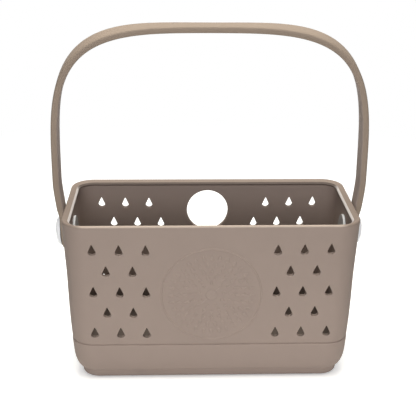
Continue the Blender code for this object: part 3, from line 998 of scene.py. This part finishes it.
def make_button(name, material, side):
    """Outer button: domed cap, shoulder through the strap's eye, stem and snap head."""
    under = STRAP_OUTSIDE - PADDLE_THINNER + TURNING_GAP
    high = BUTTON_DOME + PADDLE_THINNER - BUTTON_SHY
    shoulder_end = WALL_AT_RIVET + SIDE_DRAFT * SHOULDER_RADIUS + TURNING_GAP
    head_gap = TURNING_GAP + SIDE_DRAFT * HEAD_RADIUS
    head_start = BACKING_FACE - SOCKET_LIP - head_gap
    head_end = BACKING_FACE - SOCKET_DEPTH + head_gap
    profile = [
        (head_end, STEM_RADIUS),
        (head_start, HEAD_RADIUS),
        (head_start + HEAD_EDGE, STEM_RADIUS),
        (shoulder_end, STEM_RADIUS),
        (shoulder_end, SHOULDER_RADIUS),
        (under, SHOULDER_RADIUS),
    ]
    profile += rounded_edge(under, under + BUTTON_EDGE / 2, BUTTON_RADIUS, BUTTON_EDGE / 2)
    crest = BUTTON_RADIUS - BUTTON_EDGE / 4
    profile.append((under + BUTTON_TURN_UP, BUTTON_RADIUS - BUTTON_TURN_IN))
    profile.append((under + BUTTON_EDGE, crest))
    profile += dome(under + BUTTON_EDGE, high - BUTTON_EDGE, crest)
    return turned(name, material, profile, shoulder_end, side)


def make_backing(name, material, side):
    """Inner cap: a nearly flat disc with a lipped socket that the snap head sits in."""
    profile = [
        (BACKING_FACE - SOCKET_DEPTH, SOCKET_RADIUS),
        (BACKING_FACE - SOCKET_LIP, SOCKET_RADIUS),
        (BACKING_FACE - SOCKET_LIP, RIVET_HOLE_RADIUS),
        (BACKING_FACE, RIVET_HOLE_RADIUS),
    ]
    edge = BACKING_FACE - BACKING_BEVEL
    profile += rounded_edge(BACKING_FACE, edge, BACKING_RADIUS, BACKING_BEVEL)
    profile.append((BACKING_FACE - BACKING_EDGE, BACKING_RADIUS))
    rise = BACKING_THICKNESS - BACKING_EDGE
    profile += dome(BACKING_FACE - BACKING_EDGE, -rise, BACKING_RADIUS)
    return turned(name, material, profile, 0, side)


class Nodes:
    """A node tree, built step by step."""

    def __init__(self, tree):
        self.tree = tree

    def add(self, kind, inputs, **settings):
        """A new node with its settings made, its inputs linked to a socket or set to a value."""
        made = self.tree.nodes.new(kind)
        for name, value in settings.items():
            setattr(made, name, value)
        for name, value in inputs.items():
            if isinstance(value, bpy.types.NodeSocket):
                self.tree.links.new(value, made.inputs[name])
            else:
                made.inputs[name].default_value = value
        return made

    def math(self, operation, *values):
        made = self.add("ShaderNodeMath", dict(enumerate(values)), operation=operation)
        return made.outputs[0]

    def vector(self, operation, *values):
        made = self.add("ShaderNodeVectorMath", dict(enumerate(values)), operation=operation)
        number = operation in ("LENGTH", "DOT_PRODUCT")
        return made.outputs["Value" if number else "Vector"]

    def axis(self, vector, name):
        return self.add("ShaderNodeSeparateXYZ", {0: vector}).outputs[name]

    def surface(self, name):
        return self.add("ShaderNodeNewGeometry", {}).outputs[name]

    def ramp(self, value, start, end, low=0.0, high=1.0, kind="LINEAR"):
        """Goes from low to high as a value goes from start to end."""
        inputs = {"Value": value, "From Min": start, "From Max": end, "To Min": low, "To Max": high}
        return self.add("ShaderNodeMapRange", inputs, interpolation_type=kind).outputs["Result"]

    def eased(self, value, start, end, low=0.0, high=1.0):
        return self.ramp(value, start, end, low, high, "SMOOTHSTEP")

    def box_distance(self, place, corner):
        """Distance of a place from a box round the origin with its corner at a given point."""
        past = self.vector("SUBTRACT", self.vector("ABSOLUTE", place), corner)
        return self.vector("LENGTH", self.vector("MAXIMUM", past, (0, 0, 0)))

    def shader(self, kind, inputs):
        return self.add(kind, inputs).outputs[0]

    def unless_seen(self, light, seen):
        """One shader as light on the object, another where the camera or a reflection sees it."""
        path = self.add("ShaderNodeLightPath", {}).outputs
        directly = self.math("MAXIMUM", path["Is Camera Ray"], path["Is Glossy Ray"])
        directly = self.math("MAXIMUM", directly, path["Is Transmission Ray"])
        return self.shader("ShaderNodeMixShader", {0: directly, 1: light, 2: seen})


class Shade(Nodes):
    """A node material built round one principled shader."""

    def __init__(self, name):
        self.material = bpy.data.materials.new(name)
        self.material.use_nodes = True
        super().__init__(self.material.node_tree)
        self.inputs = self.tree.nodes["Principled BSDF"].inputs
        self.place = self.tree.nodes.new("ShaderNodeTexCoord").outputs["Object"]

    def finish(self, colour, roughness, normal):
        self.tree.links.new(colour, self.inputs["Base Color"])
        self.tree.links.new(roughness, self.inputs["Roughness"])
        self.tree.links.new(normal, self.inputs["Normal"])
        return self.material

    def noise(self, scale, detail=3.0, roughness=0.5, stretch=None):
        place = self.place
        if stretch is not None:
            mapping = self.add("ShaderNodeMapping", {"Vector": place, "Scale": stretch})
            place = mapping.outputs["Vector"]
        inputs = {"Vector": place, "Scale": scale, "Detail": detail, "Roughness": roughness}
        return self.add("ShaderNodeTexNoise", inputs).outputs["Fac"]

    def mix(self, factor, first, second):
        """One colour over another, each a socket or three numbers."""
        inputs = {"Factor": factor}
        for index, value in ((6, first), (7, second)):
            inputs[index] = (*value, 1) if isinstance(value, tuple) else value
        return self.add("ShaderNodeMix", inputs, data_type="RGBA").outputs[2]

    def bump(self, height, size, before=None):
        inputs = {"Height": height, "Strength": size[0], "Distance": size[1]}
        if before is not None:
            inputs["Normal"] = before
        return self.add("ShaderNodeBump", inputs).outputs["Normal"]


def outward(shade):
    """How squarely a surface faces away from the middle along X: -1 where it faces the middle."""
    side = shade.math("SIGN", shade.axis(shade.place, "X"))
    return shade.math("MULTIPLY", shade.axis(shade.surface("Normal"), "X"), side)


def low_inside(shade):
    """1 on the inside of the tub near its floor, falling to 0 well below the rim."""
    to_axis = shade.vector("MULTIPLY", shade.place, (-1, -1, 0))
    to_middle = shade.vector("ADD", to_axis, (0, 0, INSIDE_MIDDLE_UP))
    facing = shade.vector("DOT_PRODUCT", to_middle, shade.surface("Normal"))
    low = shade.eased(shade.axis(shade.place, "Z"), *INSIDE_SHADE_Z)
    return shade.math("MULTIPLY", shade.eased(facing, *INSIDE_FACING), low)


def rim_tones(shade, body):
    """The rim: painted highlight at the front and sheen on the sides' lip, painted shade elsewhere.
    """
    up = shade.axis(shade.place, "Z")
    along = shade.axis(shade.place, "Y")
    at_side = shade.eased(shade.math("ABSOLUTE", shade.axis(shade.place, "X")), *TONE_X)
    at_back = shade.eased(along, *TONE_BACK_Y)
    at_front = shade.eased(along, *TONE_FRONT_Y)
    corner = (TUB_WIDTH / 2 - CORNER_RADIUS, TUB_DEPTH / 2 - CORNER_RADIUS, TUB_HEIGHT)
    from_corner = shade.box_distance(shade.place, corner)
    edge = CORNER_RADIUS - RIM_THICKNESS - RIM_LIP + RIM_STRIP
    inner = shade.eased(from_corner, *(edge + past for past in TONE_STRIP))
    strip = shade.math("MULTIPLY", inner, shade.eased(up, *TONE_RIM_Z))
    on_slope = shade.eased(up, *TONE_SLOPE_Z)
    outer = shade.math("MULTIPLY", shade.math("SUBTRACT", 1, inner), on_slope)
    on_top = shade.eased(up, *TONE_TOP_Z)
    for first, second, tone in (
        (strip, at_side, RIM_SIDE_SHEEN),
        (strip, at_back, RIM_SHADED),
        (on_top, at_front, RIM_FRONT_HIGHLIGHT),
        (outer, shade.math("MAXIMUM", at_side, at_back), RIM_SLOPE_SHADE),
    ):
        body = shade.mix(shade.math("MULTIPLY", first, second), body, tone)
    return body


# Painted light on the tub: the rim's tones, and painted shade low inside and on faces turned
# outward along X
def tub_tones(shade, body):
    body = rim_tones(shade, body)
    body = shade.mix(shade.math("MULTIPLY", low_inside(shade), INSIDE_SHADE), body, BLACK)
    return shade.mix(shade.ramp(outward(shade), *TUB_OUTWARD), body, BLACK)


# Painted light on the strap: paler on faces towards the middle, painted shade on faces turned
# outward
def strap_tones(shade, body):
    facing = outward(shade)
    body = shade.mix(shade.ramp(facing, *STRAP_INWARD), body, INNER_STRAP)
    return shade.mix(shade.ramp(facing, *STRAP_OUTWARD), body, BLACK)


def foam(name, tones, colour, lighter, darker):
    """Moulded EVA foam: fine grain, faint drag marks from the mould, and soft lighter edges, a
    painted highlight.
    """
    shade = Shade(name)
    cloud = shade.ramp(shade.noise(*CLOUD), *NOISE_SPAN, high=0.6)
    mottle = shade.noise(*MOTTLE)
    blend = shade.math("ADD", cloud, shade.ramp(mottle, *NOISE_SPAN, high=0.4))
    body = shade.mix(blend, darker, colour)
    edge_highlight = shade.ramp(shade.surface("Pointiness"), *EDGE_HIGHLIGHT, high=0.55)
    body = tones(shade, shade.mix(edge_highlight, body, lighter))
    grain = shade.noise(*GRAIN)
    rough = shade.ramp(mottle, *NOISE_SPAN, low=0.62, high=0.70)
    rough = shade.math("ADD", rough, shade.ramp(grain, *NOISE_SPAN, low=-0.03, high=0.03))
    normal = shade.bump(shade.noise(*SWELL), SWELL_BUMP)
    normal = shade.bump(shade.noise(*DRAG, stretch=DRAG_STRETCH), DRAG_BUMP, normal)
    normal = shade.bump(shade.noise(*PORES), PORES_BUMP, normal)
    normal = shade.bump(grain, GRAIN_BUMP, normal)
    shade.inputs["Specular IOR Level"].default_value = FOAM_SPECULAR
    return shade.finish(body, rough, normal)


def white_plastic(name, low, high, gloss, face=None):
    """White plastic with slight handling marks in its gloss.

    A face tone makes it uncoated, with that tone as painted shade where it points to the middle.
    """
    shade = Shade(name)
    tone = shade.mix(shade.ramp(shade.noise(*TINT), *NOISE_SPAN), low, high)
    if face is not None:
        tone = shade.mix(shade.ramp(outward(shade), *BACKING_INWARD), tone, face)
    rough = shade.ramp(shade.noise(*MARKS), *MARKS_SPAN, low=gloss - 0.06, high=gloss + 0.1)
    normal = shade.bump(shade.noise(*RIPPLE), RIPPLE_BUMP)
    shade.inputs["Specular IOR Level"].default_value = PLASTIC_SPECULAR
    shade.inputs["Coat Weight"].default_value = 0.0 if face else 1.0
    shade.inputs["Coat Roughness"].default_value = COAT_ROUGHNESS
    return shade.finish(tone, rough, normal)


def floor_material():
    """White floor: it lights the object as pale paper does and keeps the object's shadow.

    As light it is weaker at the two sides. As it is seen it gets paler a little way out from the
    foot, and far away it is plain white.
    """
    material = bpy.data.materials.new("pale_floor")
    material.use_nodes = True
    material.node_tree.nodes.clear()
    nodes = Nodes(material.node_tree)
    place = nodes.surface("Position")
    across = nodes.math("ABSOLUTE", nodes.axis(place, "X"))
    bounce = nodes.eased(across, SIDE_START, SIDE_END, FLOOR_BOUNCE, SIDE_BOUNCE)
    light = nodes.shader("ShaderNodeBsdfDiffuse", {"Color": bounce})
    from_foot = nodes.box_distance(place, FOOT_CORNER)
    lift = nodes.eased(from_foot, CONTACT_START, CONTACT_END, 0, FLOOR_LIFT)
    near = nodes.shader("ShaderNodeBsdfDiffuse", {"Color": (FLOOR_SEEN,) * 3 + (1,)})
    lifted = nodes.shader("ShaderNodeEmission", {"Strength": lift})
    near = nodes.shader("ShaderNodeAddShader", {0: near, 1: lifted})
    far = nodes.shader("ShaderNodeEmission", {"Strength": 1.0})
    fade = nodes.eased(nodes.vector("LENGTH", place), FADE_START, FADE_END)
    seen = nodes.shader("ShaderNodeMixShader", {0: fade, 1: near, 2: far})
    nodes.add("ShaderNodeOutputMaterial", {"Surface": nodes.unless_seen(light, seen)})
    return material


def make_floor():
    mesh = bpy.data.meshes.new("floor")
    reach = FLOOR_REACH
    corners = [(-reach, -reach, 0), (reach, -reach, 0), (reach, reach, 0), (-reach, reach, 0)]
    mesh.from_pydata(corners, [], [(0, 1, 2, 3)])
    mesh.materials.append(floor_material())
    new_object("floor", mesh)


def make_world():
    """White surroundings: full white where they are seen, softer as light, least from the sides."""
    world = bpy.data.worlds.new("studio")
    bpy.context.scene.world = world
    world.use_nodes = True
    world.node_tree.nodes.clear()
    nodes = Nodes(world.node_tree)
    way = nodes.add("ShaderNodeTexCoord", {}).outputs["Generated"]
    sideways = nodes.math("POWER", nodes.axis(way, "X"), 2)
    level = nodes.ramp(sideways, 0, 1, WORLD_LIGHT, WORLD_SIDES)
    white = (1, 1, 1, 1)
    light = nodes.shader("ShaderNodeBackground", {"Color": white, "Strength": level})
    seen = nodes.shader("ShaderNodeBackground", {"Color": white, "Strength": 1.0})
    nodes.add("ShaderNodeOutputWorld", {"Surface": nodes.unless_seen(light, seen)})


def soft_light(name, place, size, power, colour):
    """A rectangular light that points at the tub."""
    data = bpy.data.lights.new(name, "AREA")
    data.shape = "RECTANGLE"
    data.size, data.size_y = size
    data.energy = power
    data.color = colour
    lamp = new_object(name, data)
    lamp.location = place
    lamp.rotation_mode = "QUATERNION"
    lamp.rotation_quaternion = (Vector(LIGHT_AIM) - Vector(place)).to_track_quat("-Z", "Y")


def make_camera():
    """The camera, placed by its distance and angles from the point that it aims at."""
    elevation = math.radians(CAMERA_ELEVATION)
    yaw = math.radians(CAMERA_YAW)
    roll = math.radians(CAMERA_ROLL)
    flat = math.cos(elevation)
    back = Vector((math.sin(yaw) * flat, -math.cos(yaw) * flat, math.sin(elevation)))
    level = (-back).cross(Vector((0, 0, 1))).normalized()
    upright = level.cross(-back)
    right = level * math.cos(roll) + upright * math.sin(roll)
    up = upright * math.cos(roll) - level * math.sin(roll)
    data = bpy.data.cameras.new("camera")
    data.sensor_width = CAMERA_SENSOR
    data.lens = CAMERA_LENS
    data.clip_start = CAMERA_NEAREST
    camera = new_object("camera", data)
    matrix = Matrix((right, up, back)).transposed().to_4x4()
    matrix.translation = Vector(CAMERA_AIM) + back * CAMERA_DISTANCE
    camera.matrix_world = matrix
    bpy.context.scene.camera = camera


taupe = foam(
    "taupe_foam",
    tub_tones,
    colour=(0.368, 0.288, 0.249),
    lighter=(0.43, 0.345, 0.297),
    darker=(0.342, 0.268, 0.231),
)
band = foam(
    "taupe_strap_foam",
    strap_tones,
    colour=(0.345, 0.268, 0.212),
    lighter=(0.40, 0.32, 0.25),
    darker=(0.32, 0.248, 0.196),
)
white = white_plastic("white_rivet", (0.90, 0.91, 0.96), (0.94, 0.95, 0.99), gloss=0.22)
# The backings' faces towards the middle get a painted shade
matt = white_plastic(
    "white_rivet_back", (0.90, 0.91, 0.93), (0.94, 0.95, 0.97), gloss=0.5, face=(0.36, 0.34, 0.33)
)

tub = make_tub(taupe)
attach(tub, "tub_body")
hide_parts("tub")

strap = make_strap(band)
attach(strap, "handle")
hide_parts("handle_strap")

for side, word in ((-1, "left"), (1, "right")):
    button = make_button(f"button_{word}", white, side)
    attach(button, "handle")
    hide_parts(f"rivet_button_{word}")
    backing = make_backing(f"backing_{word}", matt, side)
    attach(backing, "tub_body")
    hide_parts(f"rivet_backing_{word}")

make_floor()
make_world()
soft_light("top_light", (0, 0.35, 3.6), size=(1.5, 3.2), power=150, colour=(1.0, 0.985, 0.90))
soft_light("front_light", (-0.2, -2.4, 0.8), size=(1, 1), power=23, colour=(0.97, 0.98, 1.0))
make_camera()
bpy.context.scene.view_settings.view_transform = "Standard"
